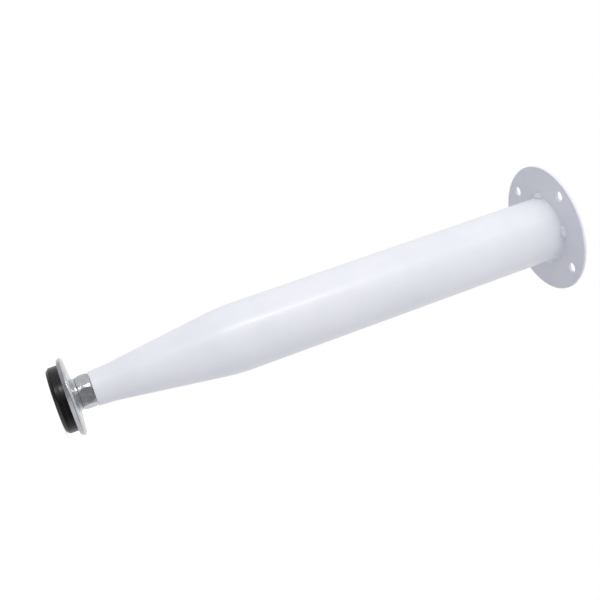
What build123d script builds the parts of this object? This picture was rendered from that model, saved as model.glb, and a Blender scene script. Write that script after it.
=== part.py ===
from build123d import *

import os

# Adjustable furniture leg: a round steel tube swaged to a cone at its lower end, tack-welded to a
# round screw-on flange, with a levelling foot screwed into the narrow end.
# Millimetres. +Z is up the leg. The origin is the centre of the pad's underside, on the floor.

# Driving dimensions: heights above the floor with the foot screwed fully in
LEG_HEIGHT = 392.0
KNEE_HEIGHT = 125.6
COLLAR_TOP_HEIGHT = 35.4
TUBE_END_HEIGHT = 26.0

# Tube, its cone, and the straight collar at the cone's narrow end
TUBE_RADIUS = 25.0
COLLAR_RADIUS = 12.6
WALL = 1.5

# Screw-on flange
FLANGE_RADIUS = 50.0
FLANGE_THICKNESS = 2.0
FLANGE_EDGE = 0.4
SCREW_CIRCLE_RADIUS = 40.0
SCREW_HOLE_RADIUS = 3.75
SCREW_HOLES = 4

# Weld tacks between tube and flange, half way between the screw holes
TACKS = 4
TACK_RADIUS = 3.4
TACK_HALF_LENGTH = 5.6
TACK_OUTSET = 0.9
TACK_SINK = 0.7

# Levelling screw thread, modelled at its outer radius
THREAD_RADIUS = 7.0
RUNNING_GAP = 0.05
TURNING_GAP = 0.2
THREAD_LEAD_IN = 1.5

# Threaded insert held in the collar and the cone
INSERT_LENGTH = 22.0
INSERT_SET_BACK = 0.4

# Base plate, a pressed dish with a flared skirt, a rolled shoulder and a raised boss
PLATE_SHEET = 1.5
SKIRT_FOOT_HEIGHT = 8.5
SKIRT_FOOT_RADIUS = 26.7
SKIRT_BORE_RADIUS = 25.2
WAIST_HEIGHT = 11.4
PLATE_RADIUS = 28.2
WAIST_ROUND = 1.0
SHOULDER_HEIGHT = 12.9
SHOULDER_RADIUS = 26.3
SHOULDER_ROUND = 1.2
CONE_TOP_RADIUS = 12.2
CONE_TOP_HEIGHT = 14.1
BOSS_RADIUS = 11.3
BOSS_HEIGHT = 16.1
BOSS_EDGE = 0.6

# Retaining disc under the screw's head
DISC_THICKNESS = 1.0
DISC_RADIUS = 25.1
DISC_SEAT_WIDTH = 2.5

# Levelling screw
HEAD_RADIUS = 8.2
SCREW_REACH = 45.0

# Hexagon nut locked on the screw
NUT_FLATS = 22.0
NUT_TURN = 41.5
NUT_FOOT_RADIUS = 11.3
NUT_WAIST_RADIUS = 12.6
NUT_HEAD_RADIUS = 11.7

# Rubber pad
PAD_RADIUS = 23.6
PAD_EDGE = 2.2
PAD_TOP_EDGE = 0.4
TREAD_RADII = (10.0, 13.5, 17.0)
TREAD_WIDTH = 1.2
TREAD_DEPTH = 0.8

# Places worked out from the driving dimensions
FLANGE_FACE = LEG_HEIGHT - FLANGE_THICKNESS
CONE_SLOPE = (TUBE_RADIUS - COLLAR_RADIUS) / (KNEE_HEIGHT - COLLAR_TOP_HEIGHT)
DISC_TOP = SHOULDER_HEIGHT - PLATE_SHEET
DISC_BOTTOM = DISC_TOP - DISC_THICKNESS
BOSS_CEILING = BOSS_HEIGHT - PLATE_SHEET
NUT_BOTTOM = BOSS_HEIGHT + TURNING_GAP
NUT_TOP = TUBE_END_HEIGHT - 1.5 * TURNING_GAP


def turned(corners):
    """A solid of revolution about Z from its (radius, height) corners."""
    outline = Polyline([(radius, 0, height) for radius, height in corners], close=True)
    return revolve(make_face(outline), Axis.Z)


def rim(solid, radius, height):
    """The circular edge of that radius at that height."""
    return solid.edges().filter_by(GeomType.CIRCLE).filter_by(
        lambda edge: abs(edge.radius - radius) < 0.01 and abs(edge.arc_center.Z - height) < 0.01
    )


def leg_tube():
    """One piece of tube: straight above the knee, coned below it down to the collar."""
    tube = turned([
        (COLLAR_RADIUS - WALL, TUBE_END_HEIGHT),
        (COLLAR_RADIUS, TUBE_END_HEIGHT),
        (COLLAR_RADIUS, COLLAR_TOP_HEIGHT),
        (TUBE_RADIUS, KNEE_HEIGHT),
        (TUBE_RADIUS, FLANGE_FACE),
        (TUBE_RADIUS - WALL, FLANGE_FACE),
        (TUBE_RADIUS - WALL, KNEE_HEIGHT),
        (COLLAR_RADIUS - WALL, COLLAR_TOP_HEIGHT),
    ])
    return fillet(rim(tube, COLLAR_RADIUS, TUBE_END_HEIGHT), WALL / 3)


def mounting_flange():
    """Round plate with four plain screw holes, two on X and two on Y."""
    plate = Pos(0, 0, FLANGE_FACE) * Cylinder(
        FLANGE_RADIUS, FLANGE_THICKNESS, align=(Align.CENTER, Align.CENTER, Align.MIN)
    )
    edges = rim(plate, FLANGE_RADIUS, FLANGE_FACE) + rim(plate, FLANGE_RADIUS, LEG_HEIGHT)
    plate = fillet(edges, FLANGE_EDGE)
    hole = Cylinder(SCREW_HOLE_RADIUS, 4 * FLANGE_THICKNESS)
    holes = PolarLocations(SCREW_CIRCLE_RADIUS, SCREW_HOLES)
    return plate - [Pos(0, 0, FLANGE_FACE) * place * hole for place in holes]


def weld_tack(angle):
    """A short bead, fattest at its middle, in the corner between the tube and the flange."""
    oval = Ellipse(TACK_RADIUS, TACK_HALF_LENGTH)
    half = oval & Pos(TACK_RADIUS, 0) * Rectangle(2 * TACK_RADIUS, 3 * TACK_HALF_LENGTH)
    into_corner = Rot(0, 225, 0)
    bead = into_corner * revolve(half, Axis.Y)
    bead = Pos(TUBE_RADIUS + TACK_OUTSET, 0, FLANGE_FACE + TACK_SINK) * bead
    tube_space = Pos(0, 0, FLANGE_FACE) * Cylinder(TUBE_RADIUS, 4 * TACK_RADIUS)
    flange_space = Pos(0, 0, FLANGE_FACE) * Cylinder(
        FLANGE_RADIUS, 2 * TACK_RADIUS, align=(Align.CENTER, Align.CENTER, Align.MIN)
    )
    return Rot(0, 0, angle) * (bead - tube_space - flange_space)


def threaded_insert():
    """Steel bush that fills the collar and the foot of the cone, bored for the screw."""
    low = TUBE_END_HEIGHT + INSERT_SET_BACK
    high = low + INSERT_LENGTH
    bore = THREAD_RADIUS + RUNNING_GAP
    low_radius = COLLAR_RADIUS - WALL
    high_radius = low_radius + CONE_SLOPE * (high - COLLAR_TOP_HEIGHT)
    insert = turned([
        (bore, low),
        (low_radius, low),
        (low_radius, COLLAR_TOP_HEIGHT),
        (high_radius, high),
        (bore, high),
    ])
    return chamfer(rim(insert, bore, low) + rim(insert, bore, high), THREAD_LEAD_IN / 2)


def foot_plate():
    """Pressed dish: a skirt, a shoulder, a shallow cone and the boss that the screw turns in."""
    bore = THREAD_RADIUS + RUNNING_GAP
    seat_radius = SKIRT_BORE_RADIUS - DISC_SEAT_WIDTH
    plate = turned([
        (SKIRT_BORE_RADIUS, SKIRT_FOOT_HEIGHT),
        (SKIRT_FOOT_RADIUS, SKIRT_FOOT_HEIGHT),
        (PLATE_RADIUS, WAIST_HEIGHT),
        (SHOULDER_RADIUS, SHOULDER_HEIGHT),
        (CONE_TOP_RADIUS, CONE_TOP_HEIGHT),
        (BOSS_RADIUS, CONE_TOP_HEIGHT + PLATE_SHEET / 3),
        (BOSS_RADIUS, BOSS_HEIGHT),
        (bore, BOSS_HEIGHT),
        (bore, BOSS_CEILING),
        (BOSS_RADIUS - PLATE_SHEET, BOSS_CEILING),
        (BOSS_RADIUS - PLATE_SHEET, CONE_TOP_HEIGHT - PLATE_SHEET),
        (seat_radius, DISC_TOP),
        (SKIRT_BORE_RADIUS, DISC_TOP),
    ])
    plate = fillet(rim(plate, PLATE_RADIUS, WAIST_HEIGHT), WAIST_ROUND)
    plate = fillet(rim(plate, SHOULDER_RADIUS, SHOULDER_HEIGHT), SHOULDER_ROUND)
    plate = fillet(rim(plate, SKIRT_FOOT_RADIUS, SKIRT_FOOT_HEIGHT), PLATE_SHEET / 3)
    return fillet(rim(plate, BOSS_RADIUS, BOSS_HEIGHT), BOSS_EDGE)


def retaining_disc():
    """Flat disc pressed into the dish, which keeps the screw's head in the boss."""
    return Pos(0, 0, DISC_BOTTOM) * Cylinder(
        DISC_RADIUS, DISC_THICKNESS, align=(Align.CENTER, Align.CENTER, Align.MIN)
    )


def levelling_screw():
    """Headed screw: the head turns inside the boss, the shank climbs in the insert."""
    head_bottom = DISC_TOP + TURNING_GAP
    head_top = BOSS_CEILING - TURNING_GAP
    tip = TUBE_END_HEIGHT + SCREW_REACH
    screw = turned([
        (0, head_bottom),
        (HEAD_RADIUS, head_bottom),
        (HEAD_RADIUS, head_top),
        (THREAD_RADIUS, head_top),
        (THREAD_RADIUS, tip),
        (0, tip),
    ])
    return chamfer(rim(screw, THREAD_RADIUS, tip), THREAD_LEAD_IN)


def adjusting_nut():
    """Hexagon for the spanner, its corners eased to a barrel, locked on the screw."""
    height = NUT_TOP - NUT_BOTTOM
    outline = Rot(0, 0, NUT_TURN) * RegularPolygon(NUT_FLATS / 2, 6, major_radius=False)
    hexagon = extrude(outline, height)
    foot = (NUT_FOOT_RADIUS, 0, 0)
    head = (NUT_HEAD_RADIUS, 0, height)
    side = ThreePointArc(foot, (NUT_WAIST_RADIUS, 0, height / 2), head)
    ends = Polyline(head, (0, 0, height), (0, 0, 0), foot)
    envelope = revolve(make_face([side, ends]), Axis.Z)
    bore = Cylinder(THREAD_RADIUS, height, align=(Align.CENTER, Align.CENTER, Align.MIN))
    return Pos(0, 0, NUT_BOTTOM) * ((hexagon & envelope) - bore)


def foot_pad():
    """Moulded rubber pad with a bevelled tread edge and three grooves in its underside."""
    pad = turned([(0, 0), (PAD_RADIUS, 0), (PAD_RADIUS, DISC_BOTTOM), (0, DISC_BOTTOM)])
    pad = chamfer(rim(pad, PAD_RADIUS, 0), PAD_EDGE)
    pad = fillet(rim(pad, PAD_RADIUS, DISC_BOTTOM), PAD_TOP_EDGE)
    for radius in TREAD_RADII:
        pad -= turned([
            (radius - TREAD_WIDTH / 2, 0),
            (radius + TREAD_WIDTH / 2, 0),
            (radius + TREAD_WIDTH / 4, TREAD_DEPTH),
            (radius - TREAD_WIDTH / 4, TREAD_DEPTH),
        ])
    return pad


nodes = {
    "leg_tube": leg_tube(),
    "mounting_flange": mounting_flange(),
    "threaded_insert": threaded_insert(),
    "foot_plate": foot_plate(),
    "retaining_disc": retaining_disc(),
    "foot_pad": foot_pad(),
    "levelling_screw": levelling_screw(),
    "adjusting_nut": adjusting_nut(),
}
for number in range(TACKS):
    angle = 360 / TACKS * (number + 0.5)
    nodes[f"weld_tack_{number + 1}"] = weld_tack(angle)

os.makedirs("parts", exist_ok=True)
for name, solid in nodes.items():
    export_step(solid, f"parts/{name}.step")
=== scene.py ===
import math

import bmesh
import bpy
from mathutils import Matrix, Vector, noise


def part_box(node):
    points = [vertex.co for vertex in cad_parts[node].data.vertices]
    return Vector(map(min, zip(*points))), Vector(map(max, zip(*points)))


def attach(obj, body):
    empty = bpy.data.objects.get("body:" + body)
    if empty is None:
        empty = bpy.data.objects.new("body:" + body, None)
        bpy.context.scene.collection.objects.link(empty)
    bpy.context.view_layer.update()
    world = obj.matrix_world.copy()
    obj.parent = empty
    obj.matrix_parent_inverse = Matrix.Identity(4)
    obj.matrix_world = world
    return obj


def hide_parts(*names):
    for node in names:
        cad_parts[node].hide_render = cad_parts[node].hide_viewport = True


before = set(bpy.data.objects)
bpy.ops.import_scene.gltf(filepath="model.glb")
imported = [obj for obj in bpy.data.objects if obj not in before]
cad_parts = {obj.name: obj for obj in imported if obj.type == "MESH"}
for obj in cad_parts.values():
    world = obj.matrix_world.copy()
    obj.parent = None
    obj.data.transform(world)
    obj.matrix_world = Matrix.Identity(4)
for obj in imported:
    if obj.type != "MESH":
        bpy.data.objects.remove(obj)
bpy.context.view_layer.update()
MM = 0.001


# ---- Leg tube ---------------------------------------------------------------------------------
# One steel tube, straight from the flange to the knee, swaged to a cone and a short collar below.
# It is turned here from its wall's section, with the flare of paint where it meets the flange.

tube_low, tube_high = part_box("leg_tube")
TUBE_RADIUS = tube_high.x
TUBE_WALL = 1.5 * MM
COLLAR_RADIUS = 12.6 * MM
COLLAR_TOP_HEIGHT = 35.4 * MM
KNEE_HEIGHT = 125.6 * MM
COLLAR_ROUND = 6 * MM
KNEE_ROUND = 9 * MM
LIP_ROUND = 0.6 * MM
PAINT_FLARE = 0.7 * MM
SHARPEST_SMOOTH_ANGLE = math.radians(40)


def turned(outline, rounds=(), steps=160, closed=True):
    """A body of revolution about Z from (radius, height) corners.

    rounds holds (corner number, how far the rounding reaches, segments).
    """
    bm = bmesh.new()
    corners = [bm.verts.new((radius, 0, height)) for radius, height in outline]
    for first, second in zip(corners, corners[1:]):
        bm.edges.new((first, second))
    if closed:
        bm.edges.new((corners[-1], corners[0]))
    for number, reach, segments in rounds:
        bmesh.ops.bevel(
            bm, geom=[corners[number]], offset=reach, segments=segments,
            profile=0.5, affect="VERTICES", material=-1,
        )
    bmesh.ops.spin(
        bm, geom=bm.verts[:] + bm.edges[:], cent=(0, 0, 0), axis=(0, 0, 1),
        angle=math.tau, steps=steps, use_merge=True,
    )
    bmesh.ops.remove_doubles(bm, verts=bm.verts[:], dist=1e-6)
    bmesh.ops.recalc_face_normals(bm, faces=bm.faces[:])
    return bm


def piece(name, bm, body, material, stands_for=()):
    """Makes the mesh an object that rides on its body, smooth but for its real corners."""
    mesh = bpy.data.meshes.new(name)
    bm.to_mesh(mesh)
    bm.free()
    mesh.shade_smooth()
    mesh.set_sharp_from_angle(angle=SHARPEST_SMOOTH_ANGLE)
    mesh.materials.append(material)
    made = bpy.data.objects.new(name, mesh)
    bpy.context.scene.collection.objects.link(made)
    shading = made.modifiers.new("even_shading", "WEIGHTED_NORMAL")
    shading.keep_sharp = True
    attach(made, body)
    if stands_for:
        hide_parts(*stands_for)


def effect(name, inputs, outputs):
    """An empty shader group with its sockets: inputs are (name, starting value), outputs names."""
    group = bpy.data.node_groups.new(name, "ShaderNodeTree")
    for socket, value in inputs:
        made = group.interface.new_socket(socket, in_out="INPUT", socket_type="NodeSocketFloat")
        made.default_value = value
    for socket in outputs:
        group.interface.new_socket(socket, in_out="OUTPUT", socket_type="NodeSocketFloat")
    return group, group.nodes.new("NodeGroupInput"), group.nodes.new("NodeGroupOutput")


def pebbling():
    """Fine rounded ripple of a sprayed or moulded skin: a height, and a slow mottle of 0 to 1."""
    group, given, out = effect("pebbling", [("Ripples", 900), ("Mottle", 40)], ["Height", "Mottle"])
    links = group.links
    place = group.nodes.new("ShaderNodeTexCoord")
    fine = group.nodes.new("ShaderNodeTexNoise")
    fine.inputs["Detail"].default_value = 2
    fine.inputs["Roughness"].default_value = 0.4
    slow = group.nodes.new("ShaderNodeTexNoise")
    slow.inputs["Detail"].default_value = 3
    spread = group.nodes.new("ShaderNodeMapRange")
    spread.interpolation_type = "SMOOTHSTEP"
    spread.inputs["From Min"].default_value = 0.3
    spread.inputs["From Max"].default_value = 0.7
    links.new(place.outputs["Object"], fine.inputs["Vector"])
    links.new(place.outputs["Object"], slow.inputs["Vector"])
    links.new(given.outputs["Ripples"], fine.inputs["Scale"])
    links.new(given.outputs["Mottle"], slow.inputs["Scale"])
    links.new(slow.outputs["Fac"], spread.inputs["Value"])
    links.new(fine.outputs["Fac"], out.inputs["Height"])
    links.new(spread.outputs["Result"], out.inputs["Mottle"])
    return group


def place_effect(material, group, **values):
    """The shared group, placed in a material with that material's own values."""
    node = material.node_tree.nodes.new("ShaderNodeGroup")
    node.node_tree = group
    for socket, value in values.items():
        node.inputs[socket].default_value = value
    return node


def between(material, factor, low, high):
    """A colour or a number that runs from low to high as the factor goes from 0 to 1."""
    tree = material.node_tree
    mix = tree.nodes.new("ShaderNodeMix")
    if isinstance(low, tuple):
        mix.data_type = "RGBA"
        first, second, result = mix.inputs[6], mix.inputs[7], mix.outputs[2]
        low, high = (*low, 1), (*high, 1)
    else:
        first, second, result = mix.inputs[2], mix.inputs[3], mix.outputs[0]
    first.default_value = low
    second.default_value = high
    tree.links.new(factor, mix.inputs[0])
    return result


def raised(material, height, distance, under=None):
    """A bump of that height in metres, on top of another bump if one is given."""
    tree = material.node_tree
    bump = tree.nodes.new("ShaderNodeBump")
    bump.inputs["Distance"].default_value = distance
    tree.links.new(height, bump.inputs["Height"])
    if under is not None:
        tree.links.new(under, bump.inputs["Normal"])
    return bump.outputs["Normal"]


def new_finish(name):
    """A material with its Principled shader, and that shader's sockets."""
    material = bpy.data.materials.new(name)
    material.use_nodes = True
    return material, material.node_tree.nodes["Principled BSDF"].inputs


def powder_coat():
    """White semi-gloss powder coat: faint orange peel, and a slightly uneven film."""
    material, shader = new_finish("white_powder_coat")
    links = material.node_tree.links
    skin = place_effect(material, PEBBLING, Ripples=520, Mottle=28)
    colour = between(material, skin.outputs["Mottle"], (0.80, 0.805, 0.825), (0.835, 0.838, 0.85))
    gloss = between(material, skin.outputs["Mottle"], 0.30, 0.38)
    links.new(colour, shader["Base Color"])
    links.new(gloss, shader["Roughness"])
    links.new(raised(material, skin.outputs["Height"], 0.00006), shader["Normal"])
    shader["Coat Weight"].default_value = 0.15
    shader["Coat Roughness"].default_value = 0.12
    return material


PEBBLING = pebbling()
POWDER_COAT = powder_coat()

tube_bottom = tube_low.z
tube_top = tube_high.z
tube_section = [
    (COLLAR_RADIUS - TUBE_WALL, tube_bottom),
    (COLLAR_RADIUS, tube_bottom),
    (COLLAR_RADIUS, COLLAR_TOP_HEIGHT),
    (TUBE_RADIUS, KNEE_HEIGHT),
    (TUBE_RADIUS, tube_top - PAINT_FLARE),
    (TUBE_RADIUS + PAINT_FLARE, tube_top),
    (TUBE_RADIUS - TUBE_WALL, tube_top),
    (TUBE_RADIUS - TUBE_WALL, KNEE_HEIGHT),
    (COLLAR_RADIUS - TUBE_WALL, COLLAR_TOP_HEIGHT),
]
tube_rounds = [
    (0, LIP_ROUND, 4), (1, LIP_ROUND, 5), (2, COLLAR_ROUND, 6), (3, KNEE_ROUND, 8),
    (4, PAINT_FLARE / 3, 3),
]
piece("tube_skin", turned(tube_section, tube_rounds, 192), "leg",
      POWDER_COAT, ["leg_tube"])


# ---- Mounting flange --------------------------------------------------------------------------
# A blanked round plate with four plain screw holes, coated with the tube. The blank is filled
# between its outer circle and the holes, thickened, and its edges rounded as a paint film does.

flange_low, flange_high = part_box("mounting_flange")
SCREW_CIRCLE_RADIUS = 40 * MM
SCREW_HOLE_RADIUS = 3.75 * MM
FLANGE_EDGE = 0.5 * MM
HOLE_EDGE = 0.3 * MM


def flange_plate():
    bm = bmesh.new()
    bmesh.ops.create_circle(bm, segments=192, radius=flange_high.x)
    for quarter in range(4):
        across = Matrix.Rotation(quarter * math.pi / 2, 4, "Z")
        across = across @ Matrix.Translation((SCREW_CIRCLE_RADIUS, 0, 0))
        bmesh.ops.create_circle(bm, segments=48, radius=SCREW_HOLE_RADIUS, matrix=across)
    bmesh.ops.triangle_fill(bm, use_beauty=True, use_dissolve=False, edges=bm.edges[:])
    sheet = bmesh.ops.extrude_face_region(bm, geom=bm.faces[:])["geom"]
    risen = [item for item in sheet if isinstance(item, bmesh.types.BMVert)]
    bmesh.ops.translate(bm, verts=risen, vec=(0, 0, flange_high.z - flange_low.z))
    bmesh.ops.recalc_face_normals(bm, faces=bm.faces[:])
    # the only sharp edges are those of the outer circle and of the holes
    corners = [edge for edge in bm.edges if edge.calc_face_angle(0) > 1]
    outer = [edge for edge in corners if edge.verts[0].co.xy.length > 0.98 * flange_high.x]
    inner = [edge for edge in corners if edge not in outer]
    for edges, reach in ((outer, FLANGE_EDGE), (inner, HOLE_EDGE)):
        bmesh.ops.bevel(
            bm, geom=edges, offset=reach, segments=4, profile=0.5, affect="EDGES", material=-1
        )
    bmesh.ops.translate(bm, verts=bm.verts[:], vec=(0, 0, flange_low.z))
    return bm


piece("flange_plate", flange_plate(), "leg", POWDER_COAT,
      ["mounting_flange"])


# ---- Weld tacks -------------------------------------------------------------------------------
# Four short beads of filler in the corner between tube and flange, half way between the holes.
# Each is a round bead pressed out of shape by a slow ripple, painted over with the rest.

TACK_RADIUS = 3.4 * MM
TACK_HALF_LENGTH = 5.4 * MM
TACK_OUTSET = 0.9 * MM
TACK_SINK = 0.7 * MM
TACK_RIPPLE = 0.35 * MM
RIPPLES_PER_METRE = 420


def weld_bead(number):
    bm = bmesh.new()
    bmesh.ops.create_uvsphere(bm, u_segments=40, v_segments=28, radius=1)
    bmesh.ops.scale(bm, verts=bm.verts[:], vec=(TACK_RADIUS, TACK_HALF_LENGTH, TACK_RADIUS))
    # each bead takes a stretch of the ripple of its own
    for vert in bm.verts:
        outward = vert.co.normalized()
        ripple = noise.noise(vert.co * RIPPLES_PER_METRE + Vector((7.3 * number, 0, 0)))
        vert.co += outward * ripple * TACK_RIPPLE
    seat = Vector((TUBE_RADIUS + TACK_OUTSET, 0, tube_top + TACK_SINK))
    bmesh.ops.translate(bm, verts=bm.verts[:], vec=seat)
    in_wall = Vector((TUBE_RADIUS - TUBE_WALL / 2, 0, 0))
    in_flange = Vector((0, 0, (flange_low.z + flange_high.z) / 2))
    for inside, outward in ((in_wall, (-1, 0, 0)), (in_flange, (0, 0, 1))):
        bmesh.ops.bisect_plane(
            bm, geom=bm.verts[:] + bm.edges[:] + bm.faces[:], plane_co=inside, plane_no=outward,
            clear_outer=True,
        )
    turn = Matrix.Rotation(math.radians(45 + 90 * number), 3, "Z")
    bmesh.ops.rotate(bm, verts=bm.verts[:], cent=(0, 0, 0), matrix=turn)
    return bm


for number in range(4):
    piece(f"weld_bead_{number + 1}", weld_bead(number), "leg", POWDER_COAT,
          [f"weld_tack_{number + 1}"])


# ---- Threaded insert --------------------------------------------------------------------------
# A turned steel bush inside the collar, seen only as a ring in the tube's mouth when the foot is
# screwed out. Its CAD shape is the real one, so it only gets its oiled steel.


def oiled_steel():
    material, shader = new_finish("oiled_steel")
    links = material.node_tree.links
    skin = place_effect(material, PEBBLING, Ripples=2200, Mottle=180)
    colour = between(material, skin.outputs["Mottle"], (0.24, 0.235, 0.23), (0.40, 0.395, 0.39))
    gloss = between(material, skin.outputs["Mottle"], 0.32, 0.5)
    links.new(colour, shader["Base Color"])
    links.new(gloss, shader["Roughness"])
    links.new(raised(material, skin.outputs["Height"], 0.00003), shader["Normal"])
    shader["Metallic"].default_value = 1
    return material


def finish_cad_node(name, material):
    """Gives a CAD node that stays in view its material."""
    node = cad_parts[name]
    node.data.materials.clear()
    node.data.materials.append(material)


finish_cad_node("threaded_insert", oiled_steel())


# ---- Foot plate and its retaining disc --------------------------------------------------------
# A pressed steel dish, bright zinc plated: a flared skirt, a rolled shoulder, a shallow cone and
# the boss that the screw turns in. It is turned from its sheet's section.

plate_low, plate_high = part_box("foot_plate")
disc_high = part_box("retaining_disc")[1]
screw_low, screw_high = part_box("levelling_screw")
SHEET = 1.5 * MM
SKIRT_FOOT_RADIUS = 26.7 * MM
SKIRT_BORE_RADIUS = 25.2 * MM
WAIST_RADIUS = 28.2 * MM
WAIST_HEIGHT = 11.4 * MM
SHOULDER_RADIUS = 26.3 * MM
SHOULDER_HEIGHT = 12.9 * MM
CONE_TOP_RADIUS = 12.2 * MM
CONE_TOP_HEIGHT = 14.1 * MM
BOSS_RADIUS = 11.3 * MM
DISC_SEAT_WIDTH = 2.5 * MM
THREAD_RADIUS = 7 * MM
RUNNING_GAP = 0.05 * MM


def drawing_lines():
    """Fine rings about Z, as pressing and turning leave them: a height of 0 to 1."""
    group, given, out = effect("drawing_lines", [("Rings", 1500), ("Drift", 60)], ["Height"])
    links = group.links
    place = group.nodes.new("ShaderNodeTexCoord")
    flat = group.nodes.new("ShaderNodeVectorMath")
    flat.operation = "MULTIPLY"
    flat.inputs[1].default_value = (1, 1, 0)
    radius = group.nodes.new("ShaderNodeVectorMath")
    radius.operation = "LENGTH"
    split = group.nodes.new("ShaderNodeSeparateXYZ")
    rings = group.nodes.new("ShaderNodeMath")
    rings.operation = "MULTIPLY"
    heights = group.nodes.new("ShaderNodeMath")
    heights.operation = "MULTIPLY"
    slow = group.nodes.new("ShaderNodeTexNoise")
    slow.inputs["Detail"].default_value = 1
    where = group.nodes.new("ShaderNodeCombineXYZ")
    lines = group.nodes.new("ShaderNodeTexNoise")
    lines.inputs["Scale"].default_value = 1
    lines.inputs["Detail"].default_value = 3
    links.new(place.outputs["Object"], flat.inputs[0])
    links.new(flat.outputs["Vector"], radius.inputs[0])
    links.new(place.outputs["Object"], split.inputs["Vector"])
    links.new(radius.outputs["Value"], rings.inputs[0])
    links.new(given.outputs["Rings"], rings.inputs[1])
    links.new(split.outputs["Z"], heights.inputs[0])
    links.new(given.outputs["Rings"], heights.inputs[1])
    links.new(place.outputs["Object"], slow.inputs["Vector"])
    links.new(given.outputs["Drift"], slow.inputs["Scale"])
    links.new(rings.outputs["Value"], where.inputs["X"])
    links.new(heights.outputs["Value"], where.inputs["Y"])
    links.new(slow.outputs["Fac"], where.inputs["Z"])
    links.new(where.outputs["Vector"], lines.inputs["Vector"])
    links.new(lines.outputs["Fac"], out.inputs["Height"])
    return group


def bright_zinc():
    """Bright zinc plating with a blue passivation: cloudy gloss and fine drawing lines."""
    material, shader = new_finish("bright_zinc")
    links = material.node_tree.links
    skin = place_effect(material, PEBBLING, Ripples=700, Mottle=170)
    lines = place_effect(material, DRAWING_LINES, Rings=2600, Drift=90)
    colour = between(material, skin.outputs["Mottle"], (0.62, 0.645, 0.67), (0.78, 0.79, 0.80))
    gloss = between(material, skin.outputs["Mottle"], 0.16, 0.30)
    links.new(colour, shader["Base Color"])
    links.new(gloss, shader["Roughness"])
    coarse = raised(material, skin.outputs["Height"], 0.00010)
    links.new(raised(material, lines.outputs["Height"], 0.00002, coarse), shader["Normal"])
    shader["Metallic"].default_value = 0.82
    return material


DRAWING_LINES = drawing_lines()
ZINC = bright_zinc()

skirt_foot = plate_low.z
boss_top = plate_high.z
boss_bore = THREAD_RADIUS + RUNNING_GAP
plate_section = [
    (SKIRT_BORE_RADIUS, skirt_foot),
    (SKIRT_FOOT_RADIUS, skirt_foot),
    (WAIST_RADIUS, WAIST_HEIGHT),
    (SHOULDER_RADIUS, SHOULDER_HEIGHT),
    (CONE_TOP_RADIUS, CONE_TOP_HEIGHT),
    (BOSS_RADIUS, CONE_TOP_HEIGHT + SHEET / 3),
    (BOSS_RADIUS, boss_top),
    (boss_bore, boss_top),
    (boss_bore, boss_top - SHEET),
    (BOSS_RADIUS - SHEET, boss_top - SHEET),
    (BOSS_RADIUS - SHEET, CONE_TOP_HEIGHT - SHEET),
    (SKIRT_BORE_RADIUS - DISC_SEAT_WIDTH, disc_high.z),
    (SKIRT_BORE_RADIUS, disc_high.z),
]
plate_rounds = [
    (0, 0.4 * MM, 4), (1, 0.6 * MM, 5), (2, 0.55 * MM, 6), (3, 0.75 * MM, 8), (4, 0.7 * MM, 5),
    (5, 0.3 * MM, 4), (6, 0.7 * MM, 6), (7, 0.25 * MM, 3),
]
piece("plate_dish", turned(plate_section, plate_rounds, 160), "foot", ZINC,
      ["foot_plate"])
finish_cad_node("retaining_disc", ZINC)


# ---- Levelling screw --------------------------------------------------------------------------
# A headed M14 screw: the head turns inside the boss and the thread climbs in the insert. The
# thread is a V section carried round and up by its pitch, over a core of the root's radius.

THREAD_PITCH = 2 * MM
THREAD_DEPTH = 1.15 * MM
THREAD_LEAD_IN = 1.5 * MM
THREAD_STEPS_PER_TURN = 40
RIDGE_SINK = 0.1 * MM
HEAD_CLEARANCE = 0.2 * MM
HEAD_ROUND = 0.5 * MM
nut_low, nut_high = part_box("adjusting_nut")


def screw_core():
    root = THREAD_RADIUS - THREAD_DEPTH
    head_top = boss_top - SHEET - HEAD_CLEARANCE
    section = [
        (0, screw_low.z),
        (screw_high.x, screw_low.z),
        (screw_high.x, head_top),
        (THREAD_RADIUS, head_top),
        (THREAD_RADIUS, nut_high.z - THREAD_LEAD_IN),
        (root, nut_high.z - THREAD_LEAD_IN / 3),
        (root, screw_high.z - THREAD_LEAD_IN),
        (root - THREAD_LEAD_IN / 2, screw_high.z),
        (0, screw_high.z),
    ]
    return turned(section, [(1, HEAD_ROUND, 4), (2, HEAD_ROUND, 4)], 72, closed=False)


def screw_thread():
    """The ridge alone: a V section wound right-handed up the core."""
    bm = bmesh.new()
    root = THREAD_RADIUS - THREAD_DEPTH
    start = nut_high.z - THREAD_LEAD_IN
    turns = (screw_high.z - THREAD_LEAD_IN - start - THREAD_PITCH) / THREAD_PITCH
    half_root = 0.47 * THREAD_PITCH
    half_crest = 0.07 * THREAD_PITCH
    section = [
        (root - RIDGE_SINK, -half_root),
        (THREAD_RADIUS, -half_crest),
        (THREAD_RADIUS, half_crest),
        (root - RIDGE_SINK, half_root),
    ]
    corners = [
        bm.verts.new((radius, 0, start + THREAD_PITCH / 2 + along)) for radius, along in section
    ]
    ridge = bm.faces.new(corners)
    steps = round(turns * THREAD_STEPS_PER_TURN)
    bmesh.ops.spin(
        bm, geom=[ridge], cent=(0, 0, 0), axis=(0, 0, 1), angle=math.tau * turns,
        dvec=(0, 0, THREAD_PITCH * turns / steps), steps=steps, use_merge=False,
    )
    bmesh.ops.recalc_face_normals(bm, faces=bm.faces[:])
    return bm


piece("screw_core", screw_core(), "screw", ZINC, ["levelling_screw"])
piece("screw_thread", screw_thread(), "screw", ZINC)


# ---- Adjusting nut ----------------------------------------------------------------------------
# A cold-formed hexagon locked on the screw, its corners drawn in to a barrel at both faces. A
# hexagonal bar is cut to its common shape with a turned blank, and the corners are then eased.

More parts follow.
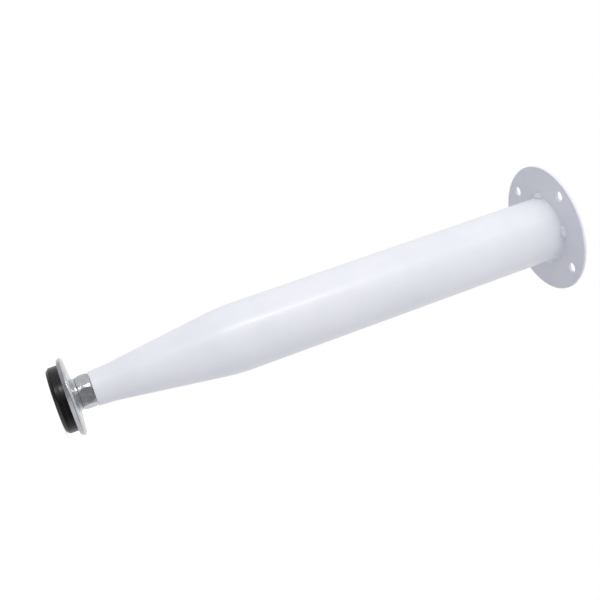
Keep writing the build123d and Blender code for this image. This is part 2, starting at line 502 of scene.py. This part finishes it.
NUT_FLATS = 22 * MM
NUT_FOOT_RADIUS = 11.3 * MM
NUT_WAIST_RADIUS = 12.3 * MM
NUT_HEAD_RADIUS = 11.7 * MM
NUT_TURN = math.radians(71.5)
NUT_EASE = 1.0 * MM
NUT_EASED_ABOVE = math.radians(22)
NUT_BORE_LAP = 0.2 * MM
BARREL_STEPS = 12


def nut_body():
    height = nut_high.z - nut_low.z
    middle = (nut_high.z + nut_low.z) / 2
    bar = bmesh.new()
    bmesh.ops.create_cone(
        bar, cap_ends=True, segments=6, radius1=NUT_FLATS / math.sqrt(3),
        radius2=NUT_FLATS / math.sqrt(3), depth=height,
        matrix=Matrix.Translation((0, 0, middle)) @ Matrix.Rotation(NUT_TURN, 4, "Z"),
    )
    bore = THREAD_RADIUS - NUT_BORE_LAP
    barrel = []
    for step in range(BARREL_STEPS + 1):
        along = step / BARREL_STEPS
        radius = (1 - along) * NUT_FOOT_RADIUS + along * NUT_HEAD_RADIUS
        swell = NUT_WAIST_RADIUS - (NUT_FOOT_RADIUS + NUT_HEAD_RADIUS) / 2
        radius += 4 * swell * along * (1 - along)
        barrel.append((radius, nut_low.z + height * along))
    blank = turned([(bore, nut_low.z), *barrel, (bore, nut_high.z)], steps=120)
    shapes = []
    for name, bm in (("nut_bar", bar), ("nut_blank", blank)):
        mesh = bpy.data.meshes.new(name)
        bm.to_mesh(mesh)
        bm.free()
        shapes.append(bpy.data.objects.new(name, mesh))
        bpy.context.scene.collection.objects.link(shapes[-1])
    cut = shapes[0].modifiers.new("cut", "BOOLEAN")
    cut.operation = "INTERSECT"
    cut.solver = "EXACT"
    cut.object = shapes[1]
    ease = shapes[0].modifiers.new("ease", "BEVEL")
    ease.width = NUT_EASE
    ease.segments = 3
    ease.limit_method = "ANGLE"
    ease.angle_limit = NUT_EASED_ABOVE
    bpy.context.view_layer.update()
    seen = shapes[0].evaluated_get(bpy.context.evaluated_depsgraph_get())
    bm = bmesh.new()
    bm.from_mesh(seen.to_mesh())
    for shape in shapes:
        bpy.data.objects.remove(shape)
    return bm


piece("nut_hexagon", nut_body(), "screw", ZINC, ["adjusting_nut"])


# ---- Rubber pad -------------------------------------------------------------------------------
# A moulded rubber disc under the dish: bevelled at the tread, with the mould's parting line round
# its side and three grooves underneath.

pad_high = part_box("foot_pad")[1]
PAD_EDGE = 2.2 * MM
EDGE_ROUND = 0.5 * MM
TOP_ROUND = 0.4 * MM
PARTING_HEIGHT = 5.6 * MM
PARTING_RISE = 0.12 * MM
TREAD_RADII = (10 * MM, 13.5 * MM, 17 * MM)
TREAD_WIDTH = 1.2 * MM
TREAD_DEPTH = 0.8 * MM


def moulded_rubber():
    """Semi-matte black rubber with a fine grain and a trace of dust."""
    material, shader = new_finish("moulded_rubber")
    links = material.node_tree.links
    skin = place_effect(material, PEBBLING, Ripples=1500, Mottle=90)
    colour = between(
        material, skin.outputs["Mottle"], (0.001, 0.001, 0.0015), (0.0025, 0.0025, 0.0035)
    )
    gloss = between(material, skin.outputs["Mottle"], 0.20, 0.27)
    links.new(colour, shader["Base Color"])
    links.new(gloss, shader["Roughness"])
    links.new(raised(material, skin.outputs["Height"], 0.00005), shader["Normal"])
    shader["Specular IOR Level"].default_value = 0.7
    return material


def pad_body():
    side = pad_high.x
    top = pad_high.z
    section = [(0, 0)]
    rounds = []
    for radius in TREAD_RADII:
        section += [
            (radius - TREAD_WIDTH / 2, 0),
            (radius - TREAD_WIDTH / 4, TREAD_DEPTH),
            (radius + TREAD_WIDTH / 4, TREAD_DEPTH),
            (radius + TREAD_WIDTH / 2, 0),
        ]
    section += [(side - PAD_EDGE, 0), (side, PAD_EDGE)]
    rounds += [(len(section) - 2, EDGE_ROUND, 6), (len(section) - 1, EDGE_ROUND, 6)]
    section += [
        (side, PARTING_HEIGHT - 2 * PARTING_RISE),
        (side + PARTING_RISE, PARTING_HEIGHT),
        (side, PARTING_HEIGHT + 2 * PARTING_RISE),
        (side, top),
    ]
    rounds.append((len(section) - 1, TOP_ROUND, 4))
    section.append((0, top))
    return turned(section, rounds, 144, closed=False)


piece("pad_body", pad_body(), "foot", moulded_rubber(), ["foot_pad"])


# ---- Studio -----------------------------------------------------------------------------------
# A plain pale floor under the pad and a white room, brightest round the horizon and to one side,
# with a ring of tones for shiny surfaces to reflect, and one soft light in front of the leg.

FLOOR_HALF = 3.0
leg_middle = Vector((0, 0, tube_top / 2))
CAMERA_PLACE = Vector((0.2875, -0.5408, 0.0350))
CAMERA_AIM = Vector((-0.0091, -0.0051, 0.1845))
CAMERA_ROLL = math.radians(70.65)
CAMERA_LENS = 51.85
CAMERA_BEARING = math.atan2(CAMERA_PLACE.y, CAMERA_PLACE.x)


def pale_floor():
    """White to the camera but for a faint contact shadow, a soft mid grey to everything else."""
    material, shader = new_finish("pale_floor")
    tree = material.node_tree
    path = tree.nodes.new("ShaderNodeLightPath")
    lift = tree.nodes.new("ShaderNodeMath")
    lift.operation = "MULTIPLY"
    lift.inputs[1].default_value = 0.7
    tree.links.new(path.outputs["Is Camera Ray"], lift.inputs[0])
    tree.links.new(lift.outputs["Value"], shader["Emission Strength"])
    shader["Emission Color"].default_value = (1, 1, 1, 1)
    shader["Base Color"].default_value = (0.60, 0.607, 0.665, 1)
    shader["Roughness"].default_value = 0.8
    shader["Specular IOR Level"].default_value = 0
    return material


floor_bm = bmesh.new()
bmesh.ops.create_grid(floor_bm, x_segments=1, y_segments=1, size=FLOOR_HALF)
floor_mesh = bpy.data.meshes.new("floor")
floor_bm.to_mesh(floor_mesh)
floor_bm.free()
floor = bpy.data.objects.new("floor", floor_mesh)
floor.visible_glossy = False
bpy.context.scene.collection.objects.link(floor)
floor_mesh.materials.append(pale_floor())


def ring_of_tones(tree, bearing, stops):
    """A grey that changes with the bearing; stops are (degrees left of the camera, grey)."""
    ramp = tree.nodes.new("ShaderNodeValToRGB")
    ramp.color_ramp.interpolation = "EASE"
    places = sorted((0.5 - degrees / 360, grey) for degrees, grey in stops)
    while len(ramp.color_ramp.elements) < len(places):
        ramp.color_ramp.elements.new(0.5)
    for element, (place, grey) in zip(ramp.color_ramp.elements, places):
        element.position = place
        element.color = (grey, grey, grey, 1)
    tree.links.new(bearing, ramp.inputs["Fac"])
    return ramp.outputs["Color"]


def room():
    """White to the camera, softly graded to matt surfaces, a ring of tones to shiny ones."""
    world = bpy.data.worlds.new("room")
    world.use_nodes = True
    tree = world.node_tree
    tree.nodes.clear()
    links = tree.links
    place = tree.nodes.new("ShaderNodeTexCoord")
    slope = tree.nodes.new("ShaderNodeVectorMath")
    slope.operation = "DOT_PRODUCT"
    slope.inputs[1].default_value = (-0.120, -0.082, -0.567)
    level = tree.nodes.new("ShaderNodeMapRange")
    level.inputs["From Min"].default_value = -1
    level.inputs["From Max"].default_value = 1
    level.inputs["To Min"].default_value = 0.0
    level.inputs["To Max"].default_value = 2.9
    graded = tree.nodes.new("ShaderNodeBackground")
    graded.inputs["Color"].default_value = (0.955, 0.962, 1.0, 1)
    links.new(place.outputs["Generated"], slope.inputs[0])
    links.new(slope.outputs["Value"], level.inputs["Value"])
    links.new(level.outputs["Result"], graded.inputs["Strength"])

    turn = tree.nodes.new("ShaderNodeMapping")
    turn.vector_type = "POINT"
    turn.inputs["Rotation"].default_value = (0, 0, -CAMERA_BEARING)
    bearing = tree.nodes.new("ShaderNodeTexGradient")
    bearing.gradient_type = "RADIAL"
    links.new(place.outputs["Generated"], turn.inputs["Vector"])
    links.new(turn.outputs["Vector"], bearing.inputs["Vector"])
    level_ring = ring_of_tones(tree, bearing.outputs["Fac"], [
        (180, 0.90), (90, 0.55), (52, 0.50), (36, 0.95), (14, 0.30), (-8, 0.11), (-60, 0.11),
        (-90, 0.35), (-140, 0.80), (-180, 0.90),
    ])
    low_ring = ring_of_tones(tree, bearing.outputs["Fac"], [
        (180, 0.50), (90, 0.28), (40, 0.14), (8, 0.20), (-16, 0.48), (-60, 0.70), (-120, 0.62),
        (-180, 0.50),
    ])
    split = tree.nodes.new("ShaderNodeSeparateXYZ")
    below = tree.nodes.new("ShaderNodeMapRange")
    below.interpolation_type = "SMOOTHSTEP"
    below.inputs["From Min"].default_value = -0.15
    below.inputs["From Max"].default_value = -0.5
    rings = tree.nodes.new("ShaderNodeMix")
    rings.data_type = "RGBA"
    shiny = tree.nodes.new("ShaderNodeBackground")
    links.new(place.outputs["Generated"], split.inputs["Vector"])
    links.new(split.outputs["Z"], below.inputs["Value"])
    links.new(below.outputs["Result"], rings.inputs[0])
    links.new(level_ring, rings.inputs[6])
    links.new(low_ring, rings.inputs[7])
    links.new(rings.outputs[2], shiny.inputs["Color"])

    white = tree.nodes.new("ShaderNodeBackground")
    white.inputs["Color"].default_value = (1, 1, 1, 1)
    path = tree.nodes.new("ShaderNodeLightPath")
    to_shiny = tree.nodes.new("ShaderNodeMixShader")
    to_camera = tree.nodes.new("ShaderNodeMixShader")
    out = tree.nodes.new("ShaderNodeOutputWorld")
    links.new(path.outputs["Is Glossy Ray"], to_shiny.inputs["Fac"])
    links.new(graded.outputs["Background"], to_shiny.inputs[1])
    links.new(shiny.outputs["Background"], to_shiny.inputs[2])
    links.new(path.outputs["Is Camera Ray"], to_camera.inputs["Fac"])
    links.new(to_shiny.outputs["Shader"], to_camera.inputs[1])
    links.new(white.outputs["Background"], to_camera.inputs[2])
    links.new(to_camera.outputs["Shader"], out.inputs["Surface"])
    return world


bpy.context.scene.world = room()
bpy.context.scene.view_settings.view_transform = "Standard"


def soft_light(name, place, width, height, power):
    """A rectangular soft light aimed at the middle of the leg."""
    light = bpy.data.lights.new(name, "AREA")
    light.shape = "RECTANGLE"
    light.size = width
    light.size_y = height
    light.energy = power
    lamp = bpy.data.objects.new(name, light)
    lamp.location = place
    lamp.rotation_euler = (leg_middle - Vector(place)).to_track_quat("-Z", "Y").to_euler()
    bpy.context.scene.collection.objects.link(lamp)


soft_light("front_light", (-0.2, -1.4, 0.32), 0.16, 0.6, 3.6)

camera_data = bpy.data.cameras.new("camera")
camera_data.lens = CAMERA_LENS
camera_data.sensor_width = 36
camera_data.clip_start = 0.01
camera = bpy.data.objects.new("camera", camera_data)
camera.location = CAMERA_PLACE
aim = (CAMERA_AIM - CAMERA_PLACE).to_track_quat("-Z", "Y")
roll = Matrix.Rotation(CAMERA_ROLL, 3, "Z").to_quaternion()
camera.rotation_mode = "QUATERNION"
camera.rotation_quaternion = aim @ roll
bpy.context.scene.collection.objects.link(camera)
bpy.context.scene.camera = camera
